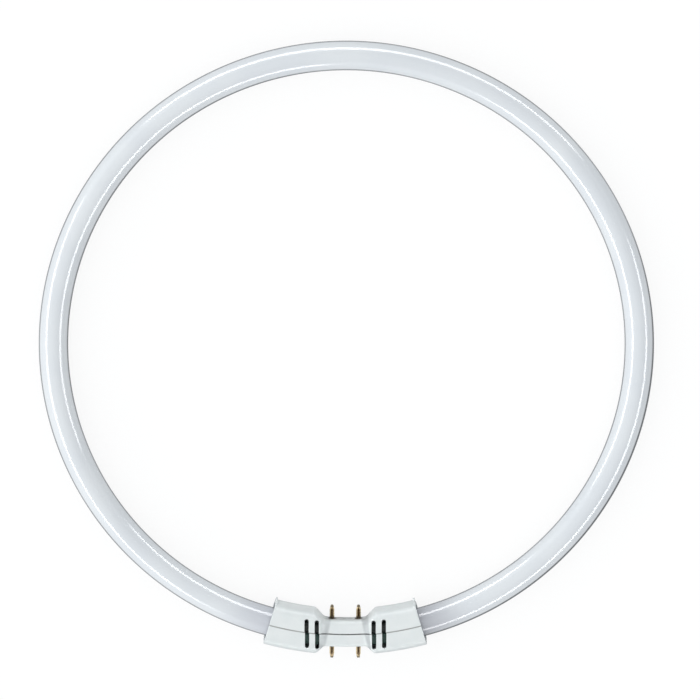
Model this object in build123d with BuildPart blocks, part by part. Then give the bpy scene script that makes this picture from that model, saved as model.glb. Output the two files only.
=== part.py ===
from build123d import *
import math
import os

# Circular fluorescent lamp: one coated glass tube bent into a ring, closed by a four-pin cap.
# The ring lies flat in XY with its centre at the origin. The cap is at -Y, its vent slots on the +Z face.
# Distances round the ring are measured along the tube's centreline from the middle of the cap.

# Glass ring
RING_OUTSIDE_DIAMETER = 300.0
TUBE_DIAMETER = 14.4
END_ROUNDING = 1.8
STEM_MOUTH_RADIUS = 5.2
STEM_THROAT_RADIUS = 3.9
STEM_DEPTH = 7.0
STEM_ROOT = 1.0
PRESS_WIDTH = 6.4
PRESS_THICKNESS = 2.4
PRESS_LENGTH = 3.0
EXHAUST_RADIUS = 1.1
EXHAUST_REACH = 1.6

# Cap, along the ring from its middle outwards
PIN_SPACING = 13.0
BRIDGE_MARGIN = 1.9
FRONT_SLOPE = 4.2
OUTER_SLOPE_SETBACK = 1.0
OUTER_SLOPE = 4.5
INNER_SLOPE_SETBACK = 1.8
INNER_SLOPE = 6.6
SLOPE_STEPS = 10
SLOT_START = 1.3
SLOT_PITCH = 5.0
LEAD_ROOM = 5.2
TUBE_GRIP = 12.1
MOUTH_LEAN = 1.75

# Cap, across the ring
WALL = 1.3
BRIDGE_WIDTH = 13.0
BRIDGE_HEIGHT = 14.4
BRIDGE_FRONT_CORNER = 1.8
BRIDGE_BACK_CORNER = 4.5
SLEEVE_SIDE_ROOM = 1.8
SLEEVE_FACE_ROOM = 0.8
SLEEVE_CORNER = 3.5

# Parting of the two shells, and the tongues that lock them
SEAM_GAP = 0.1
BRIDGE_SEAM = 0.5
TONGUE_REACH = 2.6
TONGUE_ROOT = 1.6
TONGUE_THICKNESS = 1.0
TONGUE_WIDTH = 4.0
TONGUE_CLEARANCE = 0.15

# Mouth of each sleeve
LIP_HEIGHT = 1.3
LIP_THICKNESS = 0.8
MOUTH_EDGE = 0.4

# Vent slots, one half in each shell, the halves slightly out of line as moulded
SLOT_WIDTH = 2.1
SLOT_LENGTH = 14.5
SLOT_OUTWARD = 0.45
SLOT_MISMATCH = 0.25

# Saddles that carry the tube, and the soft cushion between them
SADDLE_THICKNESS = 1.4
SADDLE_SETBACK = 3.0
SADDLE_CLEARANCE = 0.3
CUSHION_LENGTH = 3.6
CUSHION_CLEARANCE = 0.1

# Contact pins
PIN_DIAMETER = 2.35
PIN_LENGTH = 6.7
PIN_TIP_LENGTH = 2.2
PIN_TIP_DIAMETER = 1.3
PIN_BORE_DIAMETER = 0.9
PIN_SEAT_DIAMETER = 3.4
PIN_SEAT_DEPTH = 0.7
PIN_HOLE_CLEARANCE = 0.1
BOSS_HEIGHT = 0.6
BOSS_WALL = 1.0
FLANGE_DIAMETER = 4.6
FLANGE_THICKNESS = 0.7
TAIL_DIAMETER = 1.8
TAIL_LENGTH = 1.6

# Lead wires and their insulating sleeves
LEAD_DIAMETER = 0.7
LEAD_PITCH = 4.0
LEAD_CLEARANCE = 0.05
LEAD_BEND = 1.1
LEAD_TURN_ROOM = 1.4
INSULATION_WIDTH = 5.4
INSULATION_HEIGHT = 3.6
INSULATION_WALL = 0.45
INSULATION_OVERRUN = 0.4
INSULATION_CLEARANCE = 0.2
INSULATION_DEPTH = 0.5

# Sizes that follow from those above
tube_radius = TUBE_DIAMETER / 2
centreline_radius = RING_OUTSIDE_DIAMETER / 2 - tube_radius
bridge_end = PIN_SPACING / 2 + BRIDGE_MARGIN
shoulder = bridge_end + FRONT_SLOPE
inner_slope_start = bridge_end + INNER_SLOPE_SETBACK
outer_slope_start = bridge_end + OUTER_SLOPE_SETBACK
sleeve_start = max(shoulder, inner_slope_start + INNER_SLOPE, outer_slope_start + OUTER_SLOPE)
first_slot = shoulder + SLOT_START
last_slot = first_slot + SLOT_PITCH
insulation_start = first_slot - SLOT_WIDTH / 2 - INSULATION_OVERRUN
insulation_end = last_slot + SLOT_WIDTH / 2 + INSULATION_OVERRUN
glass_end = insulation_end + LEAD_ROOM
mouth = glass_end + TUBE_GRIP
room_side = tube_radius + SLEEVE_SIDE_ROOM
room_face = tube_radius + SLEEVE_FACE_ROOM
sleeve_side = room_side + WALL
sleeve_face = room_face + WALL
bridge_side = BRIDGE_WIDTH / 2
bridge_face = BRIDGE_HEIGHT / 2
pin_seat = WALL + BOSS_HEIGHT
cut_reach = 2 * sleeve_face


def angle_at(distance):
    """Degrees round the ring that a distance along the centreline takes."""
    return math.degrees(distance / centreline_radius)


def ring_plane(distance, lean=0.0):
    """Plane across the tube at a distance from the cap's middle: x points away from the ring's centre,
    y up and z back along the tube. Lean turns the plane about its own upright line."""
    turn = math.radians(angle_at(distance))
    facing = turn + math.radians(lean)
    return Plane(
        origin=(centreline_radius * math.sin(turn), -centreline_radius * math.cos(turn), 0),
        x_dir=(math.sin(facing), -math.cos(facing), 0),
        z_dir=(-math.cos(facing), -math.sin(facing), 0),
    )


def ease(start, length, distance):
    """Share of a slope climbed at a distance: 0 before it, 1 past it, soft at both ends."""
    share = min(max((distance - start) / length, 0), 1)
    return share * share * (3 - 2 * share)


def cap_section(section, distance, inset):
    """Draws the rounded rectangle across the cap at a distance, drawn in by inset, into a section's sketch.
    The face climbs in a hollow curve, flat at its foot and with a crest where the sleeve starts."""
    rise = min(max((distance - bridge_end) / FRONT_SLOPE, 0), 1) ** 2
    face = bridge_face + (sleeve_face - bridge_face) * rise
    front_corner = BRIDGE_FRONT_CORNER + (SLEEVE_CORNER - BRIDGE_FRONT_CORNER) * rise
    back_corner = BRIDGE_BACK_CORNER + (SLEEVE_CORNER - BRIDGE_BACK_CORNER) * rise
    inner = bridge_side + (sleeve_side - bridge_side) * ease(inner_slope_start, INNER_SLOPE, distance)
    outer = bridge_side + (sleeve_side - bridge_side) * ease(outer_slope_start, OUTER_SLOPE, distance)
    with Locations(((outer - inner) / 2, 0)):
        Rectangle(inner + outer - 2 * inset, 2 * (face - inset))
    fillet(section.vertices().group_by(Axis.Y)[-1], front_corner - inset)
    fillet(section.vertices().group_by(Axis.Y)[0], back_corner - inset)


def cap_form(inset):
    """The right half of the cap's form drawn in by inset: bridge, the stretch that slopes, and sleeve."""
    with BuildPart() as form:
        with BuildSketch(ring_plane(0)) as section:
            cap_section(section, 0, inset)
        revolve(axis=Axis.Z, revolution_arc=angle_at(bridge_end))
        for step in range(SLOPE_STEPS + 1):
            distance = bridge_end + (sleeve_start - bridge_end) * step / SLOPE_STEPS
            with BuildSketch(ring_plane(distance)) as section:
                cap_section(section, distance, inset)
        loft(ruled=True)
        with BuildSketch(ring_plane(sleeve_start)) as section:
            cap_section(section, sleeve_start, inset)
        revolve(axis=Axis.Z, revolution_arc=angle_at(mouth + WALL - sleeve_start))
    return form.part


def pin_plane(side, toward):
    """Plane on the bridge's face at a pin, its z along the pin and out of the cap.
    Side is -1 left or 1 right, toward is 1 for a pin that points to the ring's centre, else -1."""
    across = side * PIN_SPACING / 2
    face_radius = centreline_radius - toward * bridge_side
    along = math.sqrt(face_radius**2 - across**2)
    return Plane(origin=(across, -along, 0), x_dir=(1, 0, 0), z_dir=(0, toward, 0))


def finish(part, name):
    """Labels a finished piece and writes its file."""
    part.label = name
    export_step(part, f"parts/{name}.step")


os.makedirs("parts", exist_ok=True)

# Glass ring, one sealed solid: the bent tube, and at each end the sunk stem with its press and exhaust tip
with BuildPart() as glass_ring:
    with BuildSketch(ring_plane(glass_end)):
        Circle(tube_radius)
    revolve(axis=Axis.Z, revolution_arc=360 - 2 * angle_at(glass_end))
    end_edges = glass_ring.edges().filter_by(GeomType.CIRCLE).filter_by(
        lambda edge: abs(edge.radius - tube_radius) < 1e-6
    )
    fillet(end_edges, END_ROUNDING)

with BuildPart() as stem_bore:
    with BuildSketch(ring_plane(glass_end)):
        Circle(STEM_MOUTH_RADIUS)
    with BuildSketch(ring_plane(glass_end).offset(-STEM_DEPTH)):
        Circle(STEM_THROAT_RADIUS)
    loft(ruled=True)

with BuildPart() as stem:
    with BuildSketch(ring_plane(glass_end).offset(-STEM_DEPTH - STEM_ROOT)):
        Rectangle(PRESS_WIDTH, PRESS_THICKNESS)
    extrude(amount=STEM_ROOT + PRESS_LENGTH)
    along_stem = Axis(ring_plane(0).origin, ring_plane(glass_end).z_dir)
    fillet(stem.edges().filter_by(along_stem), PRESS_THICKNESS / 3)
    with BuildSketch(ring_plane(glass_end).offset(-STEM_DEPTH - STEM_ROOT)):
        Circle(EXHAUST_RADIUS)
    extrude(amount=STEM_ROOT + STEM_DEPTH + EXHAUST_REACH)
    exhaust_tip = ring_plane(glass_end).offset(EXHAUST_REACH).origin
    fillet(stem.edges().filter_by(GeomType.CIRCLE).sort_by_distance(exhaust_tip)[0], EXHAUST_RADIUS * 0.7)
    with BuildSketch(ring_plane(glass_end).offset(PRESS_LENGTH - STEM_DEPTH)):
        with GridLocations(LEAD_PITCH, 1, 2, 1):
            Circle(LEAD_DIAMETER / 2 + LEAD_CLEARANCE)
    extrude(amount=-PRESS_LENGTH, mode=Mode.SUBTRACT)

with glass_ring:
    add(stem_bore.part, mode=Mode.SUBTRACT)
    add(mirror(stem_bore.part, about=Plane.YZ, mode=Mode.PRIVATE), mode=Mode.SUBTRACT)
    add(stem.part)
    add(mirror(stem.part, about=Plane.YZ, mode=Mode.PRIVATE))

finish(glass_ring.part, "glass_ring")

# Right half of the cap before it is parted: walls, saddles round the tube, a boss and a hole for each pin
saddle_starts = (
    glass_end + SADDLE_SETBACK,
    glass_end + SADDLE_SETBACK + SADDLE_THICKNESS + CUSHION_LENGTH,
)

with BuildPart() as cap_half:
    add(cap_form(0))
    add(cap_form(WALL), mode=Mode.SUBTRACT)
    for start in saddle_starts:
        with BuildSketch(ring_plane(start)) as saddle:
            cap_section(saddle, start, WALL / 2)
            Circle(tube_radius + SADDLE_CLEARANCE, mode=Mode.SUBTRACT)
        revolve(axis=Axis.Z, revolution_arc=angle_at(SADDLE_THICKNESS))
    for toward in (1, -1):
        seat_plane = pin_plane(1, toward).offset(-pin_seat)
        with BuildSketch(seat_plane):
            Circle(PIN_SEAT_DIAMETER / 2 + BOSS_WALL)
        extrude(amount=BOSS_HEIGHT + WALL / 2)
        with BuildSketch(seat_plane):
            Circle(PIN_SEAT_DIAMETER / 2 + PIN_HOLE_CLEARANCE)
        extrude(amount=pin_seat + WALL, mode=Mode.SUBTRACT)
    split(bisect_by=ring_plane(mouth, MOUTH_LEAN), keep=Keep.TOP)
    rim = cap_half.faces().filter_by(
        lambda face: abs(ring_plane(mouth, MOUTH_LEAN).to_local_coords(face.center()).Z) < 1e-6
    )
    fillet(rim.edges(), MOUTH_EDGE)

# The wider seam along the bridge
with BuildPart() as bridge_seam:
    seam_half = shoulder - WALL / 2
    with BuildSketch(ring_plane(-seam_half)):
        Rectangle(BRIDGE_SEAM, 2 * cut_reach)
    revolve(axis=Axis.Z, revolution_arc=angle_at(2 * seam_half))


def vent_slots(shift):
    """The four upright slots through the cap's front face, moved sideways by shift."""
    reach = centreline_radius + SLOT_OUTWARD
    with BuildPart() as slots:
        with BuildSketch(Plane.XY.offset(room_face - SLEEVE_CORNER)):
            for side in (-1, 1):
                for distance in (first_slot, last_slot):
                    turn = math.radians(angle_at(distance))
                    with Locations((side * reach * math.sin(turn) + shift, -reach * math.cos(turn))):
                        SlotOverall(SLOT_LENGTH, SLOT_WIDTH, rotation=90)
        extrude(amount=cut_reach)
    return slots.part


# Shell on the side of the ring's centre, with the stop lip at each mouth
with BuildPart() as cap_inner_shell:
    add(cap_half.part)
    with BuildSketch(Plane.XY.offset(-cut_reach)):
        Circle(centreline_radius - SEAM_GAP / 2)
    extrude(amount=2 * cut_reach, mode=Mode.INTERSECT)
    with BuildSketch(ring_plane(mouth, MOUTH_LEAN)):
        with Locations((-sleeve_side - (LIP_HEIGHT - WALL / 2) / 2, 0)):
            RectangleRounded(LIP_HEIGHT + WALL / 2, 2 * (sleeve_face - SLEEVE_CORNER), LIP_THICKNESS / 2)
    extrude(amount=LIP_THICKNESS)
    mirror(about=Plane.YZ)
    add(bridge_seam.part, mode=Mode.SUBTRACT)
    add(vent_slots(0), mode=Mode.SUBTRACT)

finish(cap_inner_shell.part, "cap_inner_shell")

# Shell on the outside of the ring, with the tongues that reach under the other shell's walls
with BuildPart() as cap_outer_shell:
    add(cap_half.part)
    with BuildSketch(Plane.XY.offset(-cut_reach)):
        Circle(centreline_radius + SEAM_GAP / 2)
    extrude(amount=2 * cut_reach, mode=Mode.SUBTRACT)
    mirror(about=Plane.YZ)
    add(bridge_seam.part, mode=Mode.SUBTRACT)
    add(vent_slots(SLOT_MISMATCH), mode=Mode.SUBTRACT)
    for middle, height in (
        (0, bridge_face - WALL),
        (0, WALL - bridge_face),
        (sleeve_start, -room_face),
        (-sleeve_start, -room_face),
    ):
        up = math.copysign(1, height)
        under = height - up * TONGUE_CLEARANCE
        with BuildSketch(ring_plane(middle - TONGUE_WIDTH / 2)):
            with BuildLine():
                Polyline(
                    (-TONGUE_REACH, under),
                    (-TONGUE_REACH, under - up * TONGUE_THICKNESS),
                    (TONGUE_ROOT, under - up * TONGUE_THICKNESS),
                    (TONGUE_ROOT, height + up * WALL / 2),
                    (BRIDGE_SEAM, height + up * WALL / 2),
                    (BRIDGE_SEAM, under),
                    close=True,
                )
            make_face()
        revolve(axis=Axis.Z, revolution_arc=angle_at(TONGUE_WIDTH))

finish(cap_outer_shell.part, "cap_outer_shell")


def contact_pin(side, toward):
    """Drawn hollow pin: shank with a pinched tip outside the cap, seating flange and tail inside."""
    face = pin_plane(side, toward)
    flange_back = -pin_seat - FLANGE_THICKNESS
    with BuildPart() as pin:
        with BuildSketch(Plane(origin=face.origin, x_dir=(1, 0, 0), z_dir=(0, 0, toward))):
            with BuildLine():
                Polyline(
                    (PIN_BORE_DIAMETER / 2, flange_back - TAIL_LENGTH),
                    (TAIL_DIAMETER / 2, flange_back - TAIL_LENGTH),
                    (TAIL_DIAMETER / 2, flange_back),
                    (FLANGE_DIAMETER / 2, flange_back),
                    (FLANGE_DIAMETER / 2, -pin_seat),
                    (PIN_SEAT_DIAMETER / 2, -pin_seat),
                    (PIN_SEAT_DIAMETER / 2, -PIN_SEAT_DEPTH),
                    (PIN_DIAMETER / 2, -PIN_SEAT_DEPTH),
                    (PIN_DIAMETER / 2, PIN_LENGTH - PIN_TIP_LENGTH),
                    (PIN_TIP_DIAMETER / 2, PIN_LENGTH),
                    (PIN_BORE_DIAMETER / 2, PIN_LENGTH),
                    close=True,
                )
            make_face()
        revolve(axis=Axis(face.origin, face.z_dir))
    return pin.part


# Contact pins, two each side of the bridge
for toward, row in ((1, "inner"), (-1, "outer")):
    for side, hand in ((-1, "left"), (1, "right")):
        finish(contact_pin(side, toward), f"contact_pin_{row}_{hand}")

# Soft cushion round each end of the tube, between the two saddles
with BuildPart() as tube_cushion:
    cushion_start = saddle_starts[0] + SADDLE_THICKNESS + CUSHION_CLEARANCE
    with BuildSketch(ring_plane(cushion_start)) as cushion:
        cap_section(cushion, cushion_start, WALL + CUSHION_CLEARANCE)
        Circle(tube_radius + CUSHION_CLEARANCE, mode=Mode.SUBTRACT)
    revolve(axis=Axis.Z, revolution_arc=angle_at(CUSHION_LENGTH - 2 * CUSHION_CLEARANCE))

finish(tube_cushion.part, "tube_cushion_right")
finish(mirror(tube_cushion.part, about=Plane.YZ), "tube_cushion_left")

# Insulating sleeves and lead wires of the right end, each mirrored for the left end
insulation_plane = ring_plane((insulation_start + insulation_end) / 2)
insulation_length = insulation_end - insulation_start
insulation_up = room_face - INSULATION_DEPTH - INSULATION_HEIGHT / 2

for toward in (1, -1):
    across = SLOT_OUTWARD - toward * (INSULATION_WIDTH + INSULATION_CLEARANCE) / 2
    place = "inner" if toward > 0 else "outer"

    with BuildPart() as lead_sleeve:
        with BuildSketch(insulation_plane):
            with Locations((across, insulation_up)):
                SlotOverall(INSULATION_WIDTH, INSULATION_HEIGHT)
                SlotOverall(
                    INSULATION_WIDTH - 2 * INSULATION_WALL,
                    INSULATION_HEIGHT - 2 * INSULATION_WALL,
                    mode=Mode.SUBTRACT,
                )
        extrude(amount=insulation_length / 2, both=True)

    finish(lead_sleeve.part, f"lead_sleeve_{place}_right")
    finish(mirror(lead_sleeve.part, about=Plane.YZ), f"lead_sleeve_{place}_left")

    pin_axis = pin_plane(1, toward)
    tail_end = -pin_seat - FLANGE_THICKNESS - TAIL_LENGTH
    route = (
        pin_axis.from_local_coords((0, 0, PIN_LENGTH - LEAD_DIAMETER)),
        pin_axis.from_local_coords((0, 0, tail_end - LEAD_TURN_ROOM)),
        insulation_plane.from_local_coords((across, insulation_up, insulation_length / 2 + LEAD_DIAMETER)),
        insulation_plane.from_local_coords((across, insulation_up, -insulation_length / 2 - LEAD_DIAMETER)),
        ring_plane(glass_end).from_local_coords((-toward * LEAD_PITCH / 2, 0, LEAD_DIAMETER)),
        ring_plane(glass_end).from_local_coords((-toward * LEAD_PITCH / 2, 0, LEAD_DIAMETER - STEM_DEPTH)),
    )
    with BuildPart() as lead_wire:
        with BuildLine() as path:
            FilletPolyline(*route, radius=LEAD_BEND)
        with BuildSketch(Plane(origin=path.line @ 0, z_dir=path.line % 0)):
            Circle(LEAD_DIAMETER / 2)
        sweep()

    finish(lead_wire.part, f"lead_wire_{place}_right")
    finish(mirror(lead_wire.part, about=Plane.YZ), f"lead_wire_{place}_left")
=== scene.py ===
import math

import bmesh
import bpy
import numpy as np
from mathutils import Matrix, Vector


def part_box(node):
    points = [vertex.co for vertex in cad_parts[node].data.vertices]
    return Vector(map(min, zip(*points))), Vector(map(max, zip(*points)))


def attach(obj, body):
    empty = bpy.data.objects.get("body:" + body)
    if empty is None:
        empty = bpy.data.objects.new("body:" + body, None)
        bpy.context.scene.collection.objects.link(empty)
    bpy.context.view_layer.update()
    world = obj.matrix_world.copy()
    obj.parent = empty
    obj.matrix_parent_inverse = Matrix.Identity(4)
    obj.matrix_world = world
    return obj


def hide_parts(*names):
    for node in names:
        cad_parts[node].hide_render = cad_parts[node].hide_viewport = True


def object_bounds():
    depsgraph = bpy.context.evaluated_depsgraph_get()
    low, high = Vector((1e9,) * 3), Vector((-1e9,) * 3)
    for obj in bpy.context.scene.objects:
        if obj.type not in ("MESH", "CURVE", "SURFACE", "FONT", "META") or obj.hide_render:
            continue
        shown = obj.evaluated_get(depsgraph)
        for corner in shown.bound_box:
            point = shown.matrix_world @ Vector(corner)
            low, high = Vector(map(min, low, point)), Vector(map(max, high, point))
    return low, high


# Circular fluorescent lamp, lying flat with the vent slots of its cap upwards. Lengths are in metres.
# The ring's centre is the origin, the cap is at -Y, and +Z points up, towards the photograph's viewer.

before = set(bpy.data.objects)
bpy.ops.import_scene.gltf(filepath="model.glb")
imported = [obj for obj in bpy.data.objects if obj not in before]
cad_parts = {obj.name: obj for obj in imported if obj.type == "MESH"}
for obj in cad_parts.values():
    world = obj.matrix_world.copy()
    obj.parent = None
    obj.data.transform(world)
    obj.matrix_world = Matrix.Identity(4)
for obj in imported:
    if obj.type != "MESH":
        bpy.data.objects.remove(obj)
cad_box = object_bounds()

# The photograph, in its own pixels, and how the camera stands to it
PHOTO_SIZE = 700
PIXEL = 0.4875e-3
RING_CENTRE_PIXEL = (346.4, 345.3)
CAMERA_LEAN = math.radians(10.6)
CAMERA_ROLL = math.radians(0.25)
CAMERA_DISTANCE = 4.0
SENSOR_WIDTH = 36.0

# Studio: white round about, a soft sky that is brighter on one side, and strips of light that gloss mirrors
WHITE = (1.0, 1.0, 1.0, 1.0)
SKY_LEVEL = 1.07
SKY_COLOUR = (0.97, 0.99, 1.0)
SKY_BRIGHT_SIDE = math.radians(197)
SKY_SIDE_SHARE = 0.3
SKY_DIM_SIDE = math.radians(328)
SKY_DIM_REACH = (0.3, 1.0)
SKY_DIM_SHARE = 0.4
# Dark ceiling round the camera, which only gloss mirrors: its half angle, its soft edge and its colour
CEILING_REACH = math.radians(46)
CEILING_SOFTNESS = math.radians(8)
CEILING_COLOUR = (0.10, 0.078, 0.048)
STRIP_STRENGTH = 8.0
STRIP_HALF_HEIGHT = 0.19
STRIP_SOFTNESS = 0.1
STRIP_LEAST_DEPTH = 0.02
# Each strip: the azimuth it faces from, its height over its distance, and its two ends over its distance
STRIPS = (
    (math.radians(85), 0.466, -1.33, 1.33),
    (math.radians(225), 0.822, -2.14, 0.42),
    (math.radians(320), 0.778, -1.07, 1.19),
)
FLOOR_RADIUS = 8.0
FLOOR_COLOUR = (0.60, 0.61, 0.61)
FLOOR_SHADOW_SHARE = 0.16
FLOOR_WHITE = 1.01
FLOOR_POINTS = 96

# White coat behind the glass: two clouded tones and a finer grain, with the sizes of their patches
COAT_COLOURS = ((0.735, 0.765, 0.800), (0.770, 0.798, 0.825))
COAT_CLOUD_SIZE = 0.030
COAT_GRAIN_COLOUR = (0.690, 0.720, 0.765)
COAT_GRAIN_SIZE = 0.0016
COAT_GRAIN_SHARE = 0.25
# Greyer ends of the tube: the turn from the cap's middle where the grey begins and is full, its colours on
# the left and the right, and how far to each side of the middle one passes into the other
TUBE_END_TURN = (math.radians(27), math.radians(14))
TUBE_END_COLOURS = ((0.545, 0.555, 0.610), (0.350, 0.352, 0.394))
TUBE_END_SHARE = 0.7
TUBE_END_CROSSING = 0.01
GLASS_RIPPLE_SIZE = 0.045
GLASS_RIPPLE_DEPTH = 0.00004

# Clear glass wall seen edge on, painted dark as a reflection of dark surroundings: how far the surface
# faces aside where the wall begins and is full
WALL_SHADE_EDGE_ON = (0.54, 0.72)
WALL_SHADE_SHARE = 0.72
WALL_SHADE_RIPPLE_SHARE = 0.4
WALL_SHADE_COLOUR = (0.15, 0.16, 0.175)
# It is seen on the tube's flanks alone: how far the surface faces up or down where it is gone and is full
WALL_SHADE_FLANK = (0.75, 0.5)
# The side where the edge line is darker, as painted shade of the dimmer side: how far the tube must face it,
# how much sooner the wall is edge on there, and how much more of it shows
SHADED_SIDE = math.radians(322)
SHADED_SIDE_REACH = (0.35, 0.9)
SHADED_SIDE_EXTRA = 0.10
SHADED_SIDE_SHARE = 0.2
SHADED_SIDE_INNER_SHARE = 0.4
SHADED_SIDE_CROSSING = 0.05
SHADED_SIDE_COLOUR = (0.055, 0.065, 0.075)

# The cap along the ring, from its middle: where the bridge's flat face ends and where the sleeve's begins
BRIDGE_END = 0.0084
SHOULDER = 0.0126
PLASTIC_COLOURS = ((0.745, 0.785, 0.785), (0.785, 0.815, 0.815))
SPECKLE_COLOUR = (0.68, 0.72, 0.72)
SPECKLE_SHARE = 0.2
MOTTLE_SIZE = 0.009
SPECKLE_SIZE = 0.0007
SPARK_SIZE = 0.00022
SPARK_DEPTH = 0.00001
SPARK_STRENGTH = 0.6

# Painted shade on the cap. A pair is where a part of it begins and is full. The hollow before a sleeve has a
# slanted foot, which lies further along on the right, and its painted shade reaches further there
PAINTED_SHADE_COLOUR = (0.44, 0.465, 0.475)
PAINTED_SHADE_MOTTLE = (0.55, 0.9)
HOLLOW_SLANT = 0.16
HOLLOW_START = (BRIDGE_END - 0.0006, BRIDGE_END + 0.0008)
HOLLOW_FADE = (SHOULDER, BRIDGE_END + 0.0012)
HOLLOW_STOP = (SHOULDER - 0.0001, SHOULDER - 0.0011)
HOLLOW_RIGHT_SHIFT = 0.0010
HOLLOW_RIGHT_EXTRA = 0.0014
# Painted shade in the hollows, and more of it on the right
HOLLOW_SHADE = 0.62
HOLLOW_RIGHT_SHADE = 0.08
HOLLOW_RIGHT_OUTER_SHADE = 0.3
HOLLOW_OUTER_HALF = (-0.002, 0.002)
MIDDLE_CROSSING = 0.001
# Painted shade on the bridge's inner side, which gets little light
BRIDGE_SHADE = 0.8
SLEEVE_START = (SHOULDER, SHOULDER + 0.002)
# Painted shade on the sleeves' outer edges, which face the side with less light
EDGE_WIDTH = 0.0022
EDGE_SHADE = 0.45
# Painted shade low down, where the cap rests
LOW_HEIGHT = (-0.003, -0.0065)
LOW_SHADE = 0.35

# Painted deep shade: round each pin, in the parting groove, and in patches on the bridge's inner side
DEEP_SHADE_COLOUR = (0.12, 0.11, 0.10)
DEEP_SHADE_MOTTLE = (0.6, 0.8)
PIN_SPACING = 0.013
PIN_HOLE_RADIUS = 0.0018
PIN_HOLE_RIM = 0.0004
PIN_HOLE_SHADE = 0.9
GROOVE_HALF_WIDTH = (0.0004, 0.0002)
GROOVE_SHADE = 0.55
PATCH_SIZE = 0.0026
PATCH_RANGE = (0.36, 0.72)
PATCH_SHADE = 0.55
# The bridge's inner side, where shade is painted: its ends, its depth behind the face, and its heights
INNER_SIDE_ALONG = (SHOULDER + 0.001, BRIDGE_END - 0.001)
INNER_SIDE_DEPTH = (0.0003, 0.0001)
INNER_SIDE_HEIGHT = (0.0064, 0.0012)

# Brass pins: how far from the tip the dark tip and the painted shade at the root reach, and the heights of
# the painted reflection in front and at the back
PIN_LENGTH = 0.0067
TIP_DARK = (0.0015, 0.0007)
TIP_DARK_SHARE = 0.8
ROOT_SHADE = (PIN_LENGTH - 0.0018, PIN_LENGTH - 0.0006)
ROOT_SHADE_SHARE = 0.85
PAINTED_REFLECTION_HEIGHT = (0.0005, 0.0010)
REFLECTION_CORE_HEIGHT = (0.00088, 0.00108)
BRASS_COLOURS = ((0.78, 0.68, 0.48), (0.66, 0.55, 0.36))
DRAWN_COLOUR = (0.86, 0.78, 0.60)
DRAWN_SHARE = 0.3
DRAWN_MARK_SIZE = 0.00012
DRAWN_MARK_STRETCH = 0.08
DRAWN_MARK_DEPTH = 0.000001
TARNISH_SIZE = 0.0022
PAINTED_REFLECTION_COLOUR = (0.420, 0.300, 0.150)
REFLECTION_CORE_COLOURS = ((0.055, 0.026, 0.004), (0.180, 0.130, 0.070))
DARK_END_COLOUR = (0.060, 0.045, 0.028)

# Pieces inside the cap
LEAD_COLOURS = ((0.62, 0.60, 0.57), (0.48, 0.46, 0.44))
LEAD_MARK_SIZE = 0.0003
LEAD_MARK_DEPTH = 0.000008
# The inner leads' sleeving is near black, as painted shade of the cap's dark inside
PAINTED_SHADE_SLEEVING = ((0.004, 0.006, 0.006), (0.012, 0.018, 0.018))
GREEN_SLEEVING = ((0.012, 0.030, 0.026), (0.050, 0.105, 0.090))
BRAID_PITCH = 0.0011
BRAID_DEPTH = 0.00012
FRAY_SIZE = 0.0004
SILICONE_COLOURS = ((0.72, 0.72, 0.70), (0.62, 0.62, 0.60))
SILICONE_DUST_SIZE = 0.0008
SILICONE_DUST_DEPTH = 0.00002

# Hidden ends of the glass, as the solid has them
END_ROUNDING = 0.0018
STEM_MOUTH_RADIUS = 0.0052
STEM_THROAT_RADIUS = 0.0039
STEM_DEPTH = 0.007
EXHAUST_RADIUS = 0.0011
EXHAUST_REACH = 0.0016
EXHAUST_ROUNDING = 0.7 * EXHAUST_RADIUS

# Fineness of the glass mesh: rings along the tube, points round each, and points over a rounding and the stem
TUBE_RINGS = 1100
TUBE_POINTS = 72
ROUNDING_POINTS = 9
STEM_POINTS = 4
# A corner of the solid counts as on the tube's outermost line past this share of the tube's radius
OUTERMOST = 0.98


class Signal:
    """One output socket of a node tree. Arithmetic on signals adds the Math nodes that work it out."""

    def __init__(self, tree, socket):
        self.tree = tree
        self.socket = socket

    def math(self, operation, *others):
        """The Math node of that operation, on this signal and the others."""
        values = dict(enumerate((self, *others)))
        return self.tree.node("ShaderNodeMath", {"operation": operation}, values)["Value"]

    def __add__(self, other):
        return self.math("ADD", other)

    def __radd__(self, other):
        return self.math("ADD", other)

    def __sub__(self, other):
        return self.math("SUBTRACT", other)

    def __rsub__(self, other):
        return self.math("MULTIPLY", -1.0) + other

    def __mul__(self, other):
        return self.math("MULTIPLY", other)

    def __rmul__(self, other):
        return self.math("MULTIPLY", other)

    def __truediv__(self, other):
        return self.math("DIVIDE", other)

    def __rtruediv__(self, other):
        return self.math("POWER", -1.0) * other

    def __pow__(self, other):
        return self.math("POWER", other)

    def __neg__(self):
        return self.math("MULTIPLY", -1.0)

    def step(self, start, end):
        """0 before start, 1 past end, soft at both; start may be the larger."""
        settings = {"interpolation_type": "SMOOTHSTEP"}
        values = {"Value": self, "From Min": start, "From Max": end, "To Min": 0.0, "To Max": 1.0}
        return self.tree.node("ShaderNodeMapRange", settings, values)["Result"]


class Outputs:
    """A node's outputs by name, each as a signal."""

    def __init__(self, tree, node):
        self.tree = tree
        self.node = node

    def __getitem__(self, name):
        return Signal(self.tree, find_socket(self.node.outputs, name))


def find_socket(sockets, name):
    """The socket of that place, identifier or name in a node's list."""
    if isinstance(name, int):
        return sockets[name]
    for socket in sockets:
        if socket.identifier == name:
            return socket
    return sockets[name]


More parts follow.
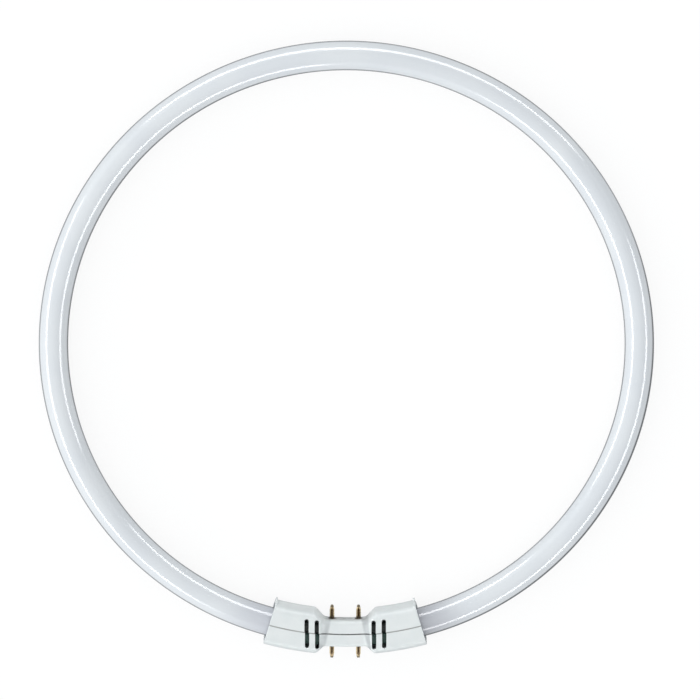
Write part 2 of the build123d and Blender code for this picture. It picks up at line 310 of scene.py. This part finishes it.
class Tree:
    """The nodes of one material or of the world."""

    def __init__(self, owner):
        owner.use_nodes = True
        self.nodes = owner.node_tree.nodes
        self.links = owner.node_tree.links
        self.nodes.clear()

    def node(self, kind, settings=None, values=None):
        """Adds a node, first its settings, then the value or link of each socket given."""
        node = self.nodes.new(kind)
        for name, value in (settings or {}).items():
            setattr(node, name, value)
        for name, value in (values or {}).items():
            socket = find_socket(node.inputs, name)
            if isinstance(value, Signal):
                self.links.new(value.socket, socket)
            else:
                socket.default_value = value
        return Outputs(self, node)

    def blend(self, share, first, second):
        """Colour from first, at a share of 0, to second, at 1."""
        values = {"Factor_Float": share, "A_Color": colour(first), "B_Color": colour(second)}
        return self.node("ShaderNodeMix", {"data_type": "RGBA"}, values)["Result_Color"]

    def axes(self, vector):
        """The vector's three numbers, by the names X, Y and Z."""
        return self.node("ShaderNodeSeparateXYZ", None, {"Vector": vector})

    def noise(self, position, size, detail=2.0):
        """Noise from 0 to 1 whose patches are about as wide as size, in metres."""
        values = {"Vector": position, "Scale": 1 / size, "Detail": detail}
        return self.node("ShaderNodeTexNoise", None, values)["Fac"]

    def bump(self, height, depth, strength=1.0):
        """Normal of a surface that the height raises by up to depth, in metres."""
        values = {"Height": height, "Distance": depth, "Strength": strength}
        return self.node("ShaderNodeBump", None, values)["Normal"]

    def mix_shaders(self, share, first, second):
        """Shader from first, at a share of 0, to second, at 1."""
        return self.node("ShaderNodeMixShader", None, {0: share, 1: first, 2: second})["Shader"]


def colour(value):
    """A colour with its alpha, where the value is three numbers; a link stays as it is."""
    return (*value, 1.0) if isinstance(value, tuple) and len(value) == 3 else value


def new_material(name):
    """A material with an empty tree, and that tree."""
    material = bpy.data.materials.new(name)
    return material, Tree(material)


def surface(tree, values):
    """Principled surface with those sockets set or linked."""
    return tree.node("ShaderNodeBsdfPrincipled", None, values)["BSDF"]


def set_output(tree, shader, kind="ShaderNodeOutputMaterial"):
    """Makes the shader the tree's result."""
    tree.node(kind, None, {"Surface": shader})


def seen_rays(tree):
    """1 for rays from the camera, a mirroring surface or clear glass, 0 for those that carry soft light."""
    rays = tree.node("ShaderNodeLightPath")
    return rays["Is Camera Ray"].math("MAXIMUM", rays["Is Glossy Ray"]).math(
        "MAXIMUM", rays["Is Transmission Ray"]
    )


# Sizes read from the solids


def node_points(name):
    """The corners of a CAD node's mesh as an array, one row each."""
    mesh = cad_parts[name].data
    flat = np.empty(3 * len(mesh.vertices))
    mesh.vertices.foreach_get("co", flat)
    return flat.reshape(-1, 3)


tube_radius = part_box("glass_ring")[1].z
centreline_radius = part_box("glass_ring")[1].x - tube_radius
outer_shell = node_points("cap_outer_shell")
sleeve_side = np.hypot(outer_shell[:, 0], outer_shell[:, 1]).max() - centreline_radius
inner_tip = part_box("contact_pin_inner_left")[1].y
outer_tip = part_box("contact_pin_outer_left")[0].y
bridge_side = centreline_radius - np.hypot(PIN_SPACING / 2, inner_tip - PIN_LENGTH)

# Materials


def from_cap_middle(axes):
    """The turn round the ring's centre from the cap's middle, the same to left and right, in radians."""
    return axes["X"].math("ARCTAN2", -axes["Y"]).math("ABSOLUTE")


def from_centreline(axes):
    """Distance outwards from the tube's centreline, as seen from above, in metres."""
    return (axes["X"] ** 2 + axes["Y"] ** 2) ** 0.5 - centreline_radius


def towards(axes, azimuth):
    """How far a direction reaches towards that azimuth: x * cos(azimuth) + y * sin(azimuth)."""
    return axes["X"] * math.cos(azimuth) + axes["Y"] * math.sin(azimuth)


def shaded_side_mask(axes, normal):
    """Mask of painted shade: 1 where the tube faces the dimmer side, less on the inside of the ring, else 0.
    """
    side_shade = towards(normal, SHADED_SIDE).step(*SHADED_SIDE_REACH)
    outwards = (normal["X"] * axes["X"] + normal["Y"] * axes["Y"]).step(-SHADED_SIDE_CROSSING, SHADED_SIDE_CROSSING)
    return side_shade * (SHADED_SIDE_INNER_SHARE + (1 - SHADED_SIDE_INNER_SHARE) * outwards)


def coated_glass():
    """White powder coat behind smooth clear glass, faintly clouded, greyer next to the cap. On the tube's
    flanks the clear wall of the glass is seen edge on, in front of no coat, as a thin grey line, which is a
    painted dark reflection, darker on one side as painted shade."""
    material, tree = new_material("coated_glass")
    coordinates = tree.node("ShaderNodeTexCoord")
    place = coordinates["Object"]
    axes = tree.axes(place)
    normal = tree.axes(coordinates["Normal"])
    cloud = tree.noise(place, COAT_CLOUD_SIZE, detail=3.0)
    grain = tree.noise(place, COAT_GRAIN_SIZE)
    coat = tree.blend(cloud.step(0.35, 0.65), *COAT_COLOURS)
    coat = tree.blend(grain.step(0.5, 0.8) * COAT_GRAIN_SHARE, coat, COAT_GRAIN_COLOUR)
    end_grey = tree.blend(axes["X"].step(-TUBE_END_CROSSING, TUBE_END_CROSSING), *TUBE_END_COLOURS)
    coat = tree.blend(from_cap_middle(axes).step(*TUBE_END_TURN) * TUBE_END_SHARE, coat, end_grey)
    ripple = tree.noise(place, GLASS_RIPPLE_SIZE, detail=1.0)
    body = surface(tree, {
        "Base Color": coat,
        "Roughness": 0.08 + 0.04 * cloud,
        "IOR": 1.52,
        "Normal": tree.bump(ripple, GLASS_RIPPLE_DEPTH),
    })
    # Painted shade: the edge line turns darker where the tube faces the side with less light
    side_shade = shaded_side_mask(axes, normal)
    facing = tree.node("ShaderNodeLayerWeight", None, {"Blend": 0.5})["Facing"]
    flank = normal["Z"].math("ABSOLUTE").step(*WALL_SHADE_FLANK)
    edge_on = (facing + SHADED_SIDE_EXTRA * side_shade).step(*WALL_SHADE_EDGE_ON) * flank
    # The wall's dark colour is a painted reflection of dark surroundings, which glass mirrors edge on
    wall = surface(tree, {
        "Base Color": tree.blend(side_shade, WALL_SHADE_COLOUR, SHADED_SIDE_COLOUR),
        "Roughness": 0.2,
        "IOR": 1.25,
    })
    share = WALL_SHADE_SHARE + WALL_SHADE_RIPPLE_SHARE * ripple + SHADED_SIDE_SHARE * side_shade
    set_output(tree, tree.mix_shaders(edge_on * share, body, wall))
    return material


def bridge_inner_side(axes):
    """1 low on the bridge's side that faces the ring's centre, fading up to the front corner, else 0."""
    along = from_cap_middle(axes) * centreline_radius
    facing = from_centreline(axes).step(*(depth - bridge_side for depth in INNER_SIDE_DEPTH))
    return along.step(*INNER_SIDE_ALONG) * facing * axes["Z"].step(*INNER_SIDE_HEIGHT)


def hollow_shade(axes):
    """Share of painted shade in the hollow before each sleeve. On the right it reaches further along, and
    there is more of it, most of all on the outer half."""
    along = from_cap_middle(axes) * centreline_radius
    out = from_centreline(axes)
    right = axes["X"].step(-MIDDLE_CROSSING, MIDDLE_CROSSING)
    foot = along - HOLLOW_SLANT * out - HOLLOW_RIGHT_SHIFT * right
    hollow = foot.step(*HOLLOW_START) * (foot - HOLLOW_RIGHT_EXTRA * right).step(*HOLLOW_FADE)
    more = HOLLOW_RIGHT_SHADE + HOLLOW_RIGHT_OUTER_SHADE * out.step(*HOLLOW_OUTER_HALF)
    return hollow * along.step(*HOLLOW_STOP) * (HOLLOW_SHADE + more * right)


def cap_painted_shade(axes, mottle):
    """Share of painted shade on the cap. It lies in the hollow before each sleeve, along the bridge's side
    that faces the ring's centre, on the sleeves' outer edges, and low down, where the cap rests."""
    sleeve = (from_cap_middle(axes) * centreline_radius).step(*SLEEVE_START)
    edge = from_centreline(axes).step(sleeve_side - EDGE_WIDTH, sleeve_side) * sleeve
    low = axes["Z"].step(*LOW_HEIGHT) * sleeve
    dust_and_shade = hollow_shade(axes) + bridge_inner_side(axes) * BRIDGE_SHADE + edge * EDGE_SHADE + low * LOW_SHADE
    least, rise = PAINTED_SHADE_MOTTLE
    return dust_and_shade * (least + rise * mottle)


def cap_deep_shade(tree, place, axes, mottle):
    """Share of painted deep shade on the cap: in each pin's hole and on its rim, in the parting groove, and
    in soft patches on the bridge's side that faces the ring's centre."""
    across = axes["X"].math("ABSOLUTE") - PIN_SPACING / 2
    from_pin = (across ** 2 + axes["Z"] ** 2) ** 0.5
    # Painted shade in each pin's hole and on its rim
    hole = from_pin.step(PIN_HOLE_RADIUS + PIN_HOLE_RIM, PIN_HOLE_RADIUS)
    # Painted shade in the parting groove
    groove = from_centreline(axes).math("ABSOLUTE").step(*GROOVE_HALF_WIDTH)
    # Painted shade in soft patches on the bridge's inner side
    patches = tree.noise(place, PATCH_SIZE, detail=3.0).step(*PATCH_RANGE) * bridge_inner_side(axes)
    least, rise = DEEP_SHADE_MOTTLE
    lines = (hole * PIN_HOLE_SHADE + groove * GROOVE_SHADE) * (least + rise * mottle)
    return lines + patches * PATCH_SHADE


def cap_plastic():
    """Pale grey moulded plastic with a green tint: satin, finely spark-textured, faintly mottled."""
    material, tree = new_material("cap_plastic")
    place = tree.node("ShaderNodeTexCoord")["Object"]
    axes = tree.axes(place)
    mottle = tree.noise(place, MOTTLE_SIZE, detail=3.0)
    speckle = tree.noise(place, SPECKLE_SIZE, detail=1.0)
    shade = tree.blend(mottle.step(0.3, 0.7), *PLASTIC_COLOURS)
    shade = tree.blend(speckle.step(0.62, 0.8) * SPECKLE_SHARE, shade, SPECKLE_COLOUR)
    # Painted shade: greyer in the hollows, on the bridge's inner side, on the outer edges and low down
    shade = tree.blend(cap_painted_shade(axes, mottle), shade, PAINTED_SHADE_COLOUR)
    # Painted deep shade in the pin holes, in the parting groove and on the bridge's inner side
    shade = tree.blend(cap_deep_shade(tree, place, axes, mottle), shade, DEEP_SHADE_COLOUR)
    spark = tree.noise(place, SPARK_SIZE)
    body = surface(tree, {
        "Base Color": shade,
        "Roughness": 0.36 + 0.16 * mottle,
        "IOR": 1.49,
        "Normal": tree.bump(spark, SPARK_DEPTH, SPARK_STRENGTH),
    })
    set_output(tree, body)
    return material


def pin_brass():
    """Drawn brass, bright on the flanks. In front and at the back a dull brown band is a painted reflection,
    darkest in its middle; the tip is darker, and the root has painted shade. The pins on the ring's
    outside are less brown."""
    material, tree = new_material("pin_brass")
    place = tree.node("ShaderNodeTexCoord")["Object"]
    axes = tree.axes(place)
    pins_middle = (inner_tip + outer_tip) / 2
    from_tip = (inner_tip - outer_tip) / 2 - (axes["Y"] - pins_middle).math("ABSOLUTE")
    # Darker at the tip, and painted shade at the root, where the pin enters the cap
    dark_ends = from_tip.step(*TIP_DARK) * TIP_DARK_SHARE + from_tip.step(*ROOT_SHADE) * ROOT_SHADE_SHARE
    height = axes["Z"].math("ABSOLUTE")
    # Painted reflection: a dull brown band in front and at the back, for the dark room the brass mirrors
    painted_reflection = height.step(*PAINTED_REFLECTION_HEIGHT)
    outer_row = axes["Y"].step(pins_middle, outer_tip)
    stretch = {"Vector": place, "Scale": (1.0, DRAWN_MARK_STRETCH, 1.0)}
    drawn = tree.noise(tree.node("ShaderNodeMapping", None, stretch)["Vector"], DRAWN_MARK_SIZE)
    tarnish = tree.noise(place, TARNISH_SIZE).step(0.42, 0.68)
    shade = tree.blend(tarnish, *BRASS_COLOURS)
    shade = tree.blend(drawn.step(0.4, 0.7) * DRAWN_SHARE, shade, DRAWN_COLOUR)
    reflection_core = tree.blend(outer_row * 0.4 + 0.3 * tarnish, *REFLECTION_CORE_COLOURS)
    shade = tree.blend(painted_reflection, shade, tree.blend(height.step(*REFLECTION_CORE_HEIGHT), PAINTED_REFLECTION_COLOUR, reflection_core))
    shade = tree.blend(dark_ends, shade, DARK_END_COLOUR)
    body = surface(tree, {
        "Base Color": shade,
        "Metallic": 1.0 - 0.7 * painted_reflection.math("MAXIMUM", dark_ends),
        "Roughness": 0.24 + 0.06 * tarnish + 0.04 * drawn + 0.2 * dark_ends,
        "Normal": tree.bump(drawn, DRAWN_MARK_DEPTH),
    })
    set_output(tree, body)
    return material


def lead_metal():
    """Bare nickel-plated wire, dull, with fine drawing marks."""
    material, tree = new_material("lead_metal")
    place = tree.node("ShaderNodeTexCoord")["Object"]
    marks = tree.noise(place, LEAD_MARK_SIZE, detail=3.0)
    body = surface(tree, {
        "Base Color": tree.blend(marks, *LEAD_COLOURS),
        "Metallic": 1.0,
        "Roughness": 0.3 + 0.15 * marks,
        "Normal": tree.bump(marks, LEAD_MARK_DEPTH),
    })
    set_output(tree, body)
    return material


def braid(name, gap, thread):
    """Varnished glass-fibre sleeving: two sets of slanted threads that cross over and under."""
    material, tree = new_material(name)
    place = tree.node("ShaderNodeTexCoord")["Object"]
    axes = tree.axes(place)
    across = (axes["X"] + axes["Y"]) * (2 * math.pi / BRAID_PITCH)
    along = (axes["X"] - axes["Y"]) * (2 * math.pi / BRAID_PITCH)
    weave = across.math("SINE") * along.math("SINE") * 0.5 + 0.5
    fray = tree.noise(place, FRAY_SIZE)
    body = surface(tree, {
        "Base Color": tree.blend(weave * 0.7 + fray * 0.3, gap, thread),
        "Roughness": 0.45 + 0.2 * fray,
        "Normal": tree.bump(weave, BRAID_DEPTH),
    })
    set_output(tree, body)
    return material


def silicone():
    """Matt white silicone rubber with a little dust."""
    material, tree = new_material("silicone")
    place = tree.node("ShaderNodeTexCoord")["Object"]
    dust_and_shade = tree.noise(place, SILICONE_DUST_SIZE, detail=4.0)
    body = surface(tree, {
        "Base Color": tree.blend(dust_and_shade.step(0.4, 0.7), *SILICONE_COLOURS),
        "Roughness": 0.65 + 0.2 * dust_and_shade,
        "Normal": tree.bump(dust_and_shade, SILICONE_DUST_DEPTH),
    })
    set_output(tree, body)
    return material


def floor_finish():
    """Pale floor. Where it is seen or mirrored it is white and keeps a trace of the lamp's shadow."""
    material, tree = new_material("pale_floor")
    plain = tree.node("ShaderNodeBsdfDiffuse", None, {"Color": colour(FLOOR_COLOUR)})["BSDF"]
    shadow = tree.node("ShaderNodeBsdfDiffuse", None, {"Color": colour((FLOOR_SHADOW_SHARE,) * 3)})["BSDF"]
    white = tree.node("ShaderNodeEmission", None, {"Strength": FLOOR_WHITE - FLOOR_SHADOW_SHARE})["Emission"]
    seen = tree.node("ShaderNodeAddShader", None, {0: shadow, 1: white})["Shader"]
    set_output(tree, tree.mix_shaders(seen_rays(tree), plain, seen))
    return material


# Meshes


def mesh_piece(name, points, faces, material):
    """A smooth piece from its points and faces, with doubled points merged and faces turned outwards."""
    mesh = bpy.data.meshes.new(name)
    mesh.from_pydata(points, [], faces)
    work = bmesh.new()
    work.from_mesh(mesh)
    bmesh.ops.remove_doubles(work, verts=work.verts, dist=1e-7)
    bmesh.ops.dissolve_degenerate(work, edges=work.edges, dist=1e-8)
    bmesh.ops.recalc_face_normals(work, faces=work.faces)
    work.to_mesh(mesh)
    work.free()
    mesh.shade_smooth()
    mesh.materials.append(material)
    piece = bpy.data.objects.new(name, mesh)
    bpy.context.scene.collection.objects.link(piece)
    return piece


def grid_faces(rows, columns):
    """Quads of a grid whose columns close on themselves; a point's number is row * columns + column."""
    first, column = np.meshgrid(np.arange(rows - 1) * columns, np.arange(columns), indexing="ij")
    after = (column + 1) % columns
    quads = np.stack([first + column, first + after, first + columns + after, first + columns + column], -1)
    return quads.reshape(-1, 4).tolist()


def glass_profile(end_distance):
    """Section radius against distance from the cap's middle, from the exhaust tip's pole to the full tube.
    The tube's end is a quarter circle, a flat, then the stem's cone sunk inwards and the exhaust tube."""
    quarter = np.linspace(0, np.pi / 2, ROUNDING_POINTS)
    radii = np.concatenate([
        EXHAUST_RADIUS - EXHAUST_ROUNDING + EXHAUST_ROUNDING * np.sin(quarter),
        np.linspace(EXHAUST_RADIUS, STEM_THROAT_RADIUS, STEM_POINTS),
        [STEM_MOUTH_RADIUS],
        tube_radius - END_ROUNDING + END_ROUNDING * np.sin(quarter),
    ])
    distances = end_distance + np.concatenate([
        EXHAUST_ROUNDING - EXHAUST_REACH - EXHAUST_ROUNDING * np.cos(quarter),
        np.full(STEM_POINTS, STEM_DEPTH),
        [0.0],
        END_ROUNDING - END_ROUNDING * np.cos(quarter),
    ])
    return np.concatenate([[0.0], radii]), np.concatenate([[-EXHAUST_REACH + end_distance], distances])


def glass_tube(material):
    """The coated ring: circles of the profile's radius, carried round the centreline from end to end.
    Point = centreline point + radius * (cos(a) * outward + sin(a) * up)."""
    solid = node_points("glass_ring")
    outer = solid[np.hypot(solid[:, 0], solid[:, 1]) > centreline_radius + OUTERMOST * tube_radius]
    rounding_start = np.arctan2(np.abs(outer[:, 0]), -outer[:, 1]).min() * centreline_radius
    radii, distances = glass_profile(rounding_start - END_ROUNDING)
    whole_turn = 2 * np.pi * centreline_radius
    middle = np.linspace(distances[-1], whole_turn - distances[-1], TUBE_RINGS)[1:-1]
    radii = np.concatenate([radii, np.full(len(middle), tube_radius), radii[::-1]])
    distances = np.concatenate([distances, middle, (whole_turn - distances)[::-1]])
    turn = distances / centreline_radius
    outward = np.stack([np.sin(turn), -np.cos(turn), np.zeros_like(turn)], -1)
    up = np.array([0.0, 0.0, 1.0])
    around = np.linspace(0, 2 * np.pi, TUBE_POINTS, endpoint=False)
    offset = outward[:, None, :] * np.cos(around)[:, None] + up * np.sin(around)[:, None]
    points = centreline_radius * outward[:, None, :] + radii[:, None, None] * offset
    faces = grid_faces(len(turn), TUBE_POINTS)
    return mesh_piece("glass_tube", points.reshape(-1, 3), faces, material)


# Pieces and their finishes

finishes = {
    "cap_": cap_plastic(),
    "contact_pin_": pin_brass(),
    "lead_wire_": lead_metal(),
    "lead_sleeve_inner_": braid("painted_shade_sleeving", *PAINTED_SHADE_SLEEVING),
    "lead_sleeve_outer_": braid("green_sleeving", *GREEN_SLEEVING),
    "tube_cushion_": silicone(),
}
for name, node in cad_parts.items():
    for start, finish in finishes.items():
        if name.startswith(start):
            node.data.materials.clear()
            node.data.materials.append(finish)

glass = glass_tube(coated_glass())
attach(glass, "root")
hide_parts("glass_ring")

# Floor, world and camera


def make_floor():
    """Round pale floor that the lamp lies on."""
    floor_mesh = bpy.data.meshes.new("floor")
    turn = np.linspace(0, 2 * np.pi, FLOOR_POINTS, endpoint=False)
    rim = np.stack([np.cos(turn), np.sin(turn), np.zeros_like(turn)], -1) * FLOOR_RADIUS
    rim[:, 2] = cad_box[0].z
    floor_mesh.from_pydata(rim, [], [list(range(len(turn)))])
    floor_mesh.materials.append(floor_finish())
    floor = bpy.data.objects.new("floor", floor_mesh)
    bpy.context.scene.collection.objects.link(floor)


def light_strip(axes, facing, rise, start, end):
    """1 where a straight level strip of light stands in the sky, else 0. The strip is on a far wall that
    faces the ring: height and side are the direction's Z and sideways reach over its depth to that wall."""
    depth = towards(axes, facing)
    side = towards(axes, facing + math.pi / 2) / depth
    height = axes["Z"] / depth
    off = (height - rise).math("ABSOLUTE")
    lit = off.step(STRIP_HALF_HEIGHT * (1 + STRIP_SOFTNESS), STRIP_HALF_HEIGHT * (1 - STRIP_SOFTNESS))
    ends = side.step(start - STRIP_SOFTNESS, start + STRIP_SOFTNESS) * side.step(
        end + STRIP_SOFTNESS, end - STRIP_SOFTNESS
    )
    return lit * ends * depth.step(0.0, STRIP_LEAST_DEPTH)


def studio_world():
    """White where the camera looks past the floor. Soft light comes from a sky that is brighter on one side,
    and glossy surfaces mirror that sky and the strips of light."""
    world = bpy.data.worlds.new("studio")
    bpy.context.scene.world = world
    tree = Tree(world)
    axes = tree.axes(tree.node("ShaderNodeTexCoord")["Generated"])
    rays = tree.node("ShaderNodeLightPath")
    bright = towards(axes, SKY_BRIGHT_SIDE) * SKY_SIDE_SHARE
    dim = towards(axes, SKY_DIM_SIDE).step(*SKY_DIM_REACH) * SKY_DIM_SHARE
    level = (bright - dim + 1.0) * SKY_LEVEL
    ceiling = axes["Z"].step(
        math.cos(CEILING_REACH + CEILING_SOFTNESS), math.cos(CEILING_REACH - CEILING_SOFTNESS)
    )
    shade = tree.blend(ceiling * rays["Is Glossy Ray"], SKY_COLOUR, CEILING_COLOUR)
    sky = tree.node("ShaderNodeBackground", None, {"Color": shade, "Strength": level})
    strips = sum(light_strip(axes, *strip) for strip in STRIPS) * rays["Is Glossy Ray"] * STRIP_STRENGTH
    lit = tree.node("ShaderNodeBackground", None, {"Color": WHITE, "Strength": strips})
    light = tree.node("ShaderNodeAddShader", None, {0: sky["Background"], 1: lit["Background"]})["Shader"]
    white = tree.node("ShaderNodeBackground", None, {"Color": WHITE, "Strength": 1.0})
    seen = rays["Is Camera Ray"].math("MAXIMUM", rays["Is Transmission Ray"])
    result = tree.mix_shaders(seen, light, white["Background"])
    set_output(tree, result, "ShaderNodeOutputWorld")


def photo_camera():
    """Camera above the ring, leaning towards its far side, framed as the photograph is."""
    data = bpy.data.cameras.new("photo_camera")
    camera = bpy.data.objects.new("photo_camera", data)
    bpy.context.scene.collection.objects.link(camera)
    back = np.array([0.0, math.sin(CAMERA_LEAN), math.cos(CAMERA_LEAN)])
    level_right = np.array([1.0, 0.0, 0.0])
    level_up = np.cross(back, level_right)
    right = level_right * math.cos(CAMERA_ROLL) + level_up * math.sin(CAMERA_ROLL)
    up = np.cross(back, right)
    half = PHOTO_SIZE / 2
    aim = right * (half - RING_CENTRE_PIXEL[0]) * PIXEL - up * (half - RING_CENTRE_PIXEL[1]) * PIXEL
    place = np.eye(4)
    place[:3, :3] = np.stack([right, up, back], -1)
    place[:3, 3] = aim + back * CAMERA_DISTANCE
    camera.matrix_world = Matrix(place.tolist())
    data.sensor_width = SENSOR_WIDTH
    data.lens = SENSOR_WIDTH * CAMERA_DISTANCE / (PHOTO_SIZE * PIXEL)
    data.clip_start = 0.1
    data.clip_end = 50.0
    bpy.context.scene.camera = camera


make_floor()
studio_world()
photo_camera()
bpy.context.scene.view_settings.view_transform = "Standard"
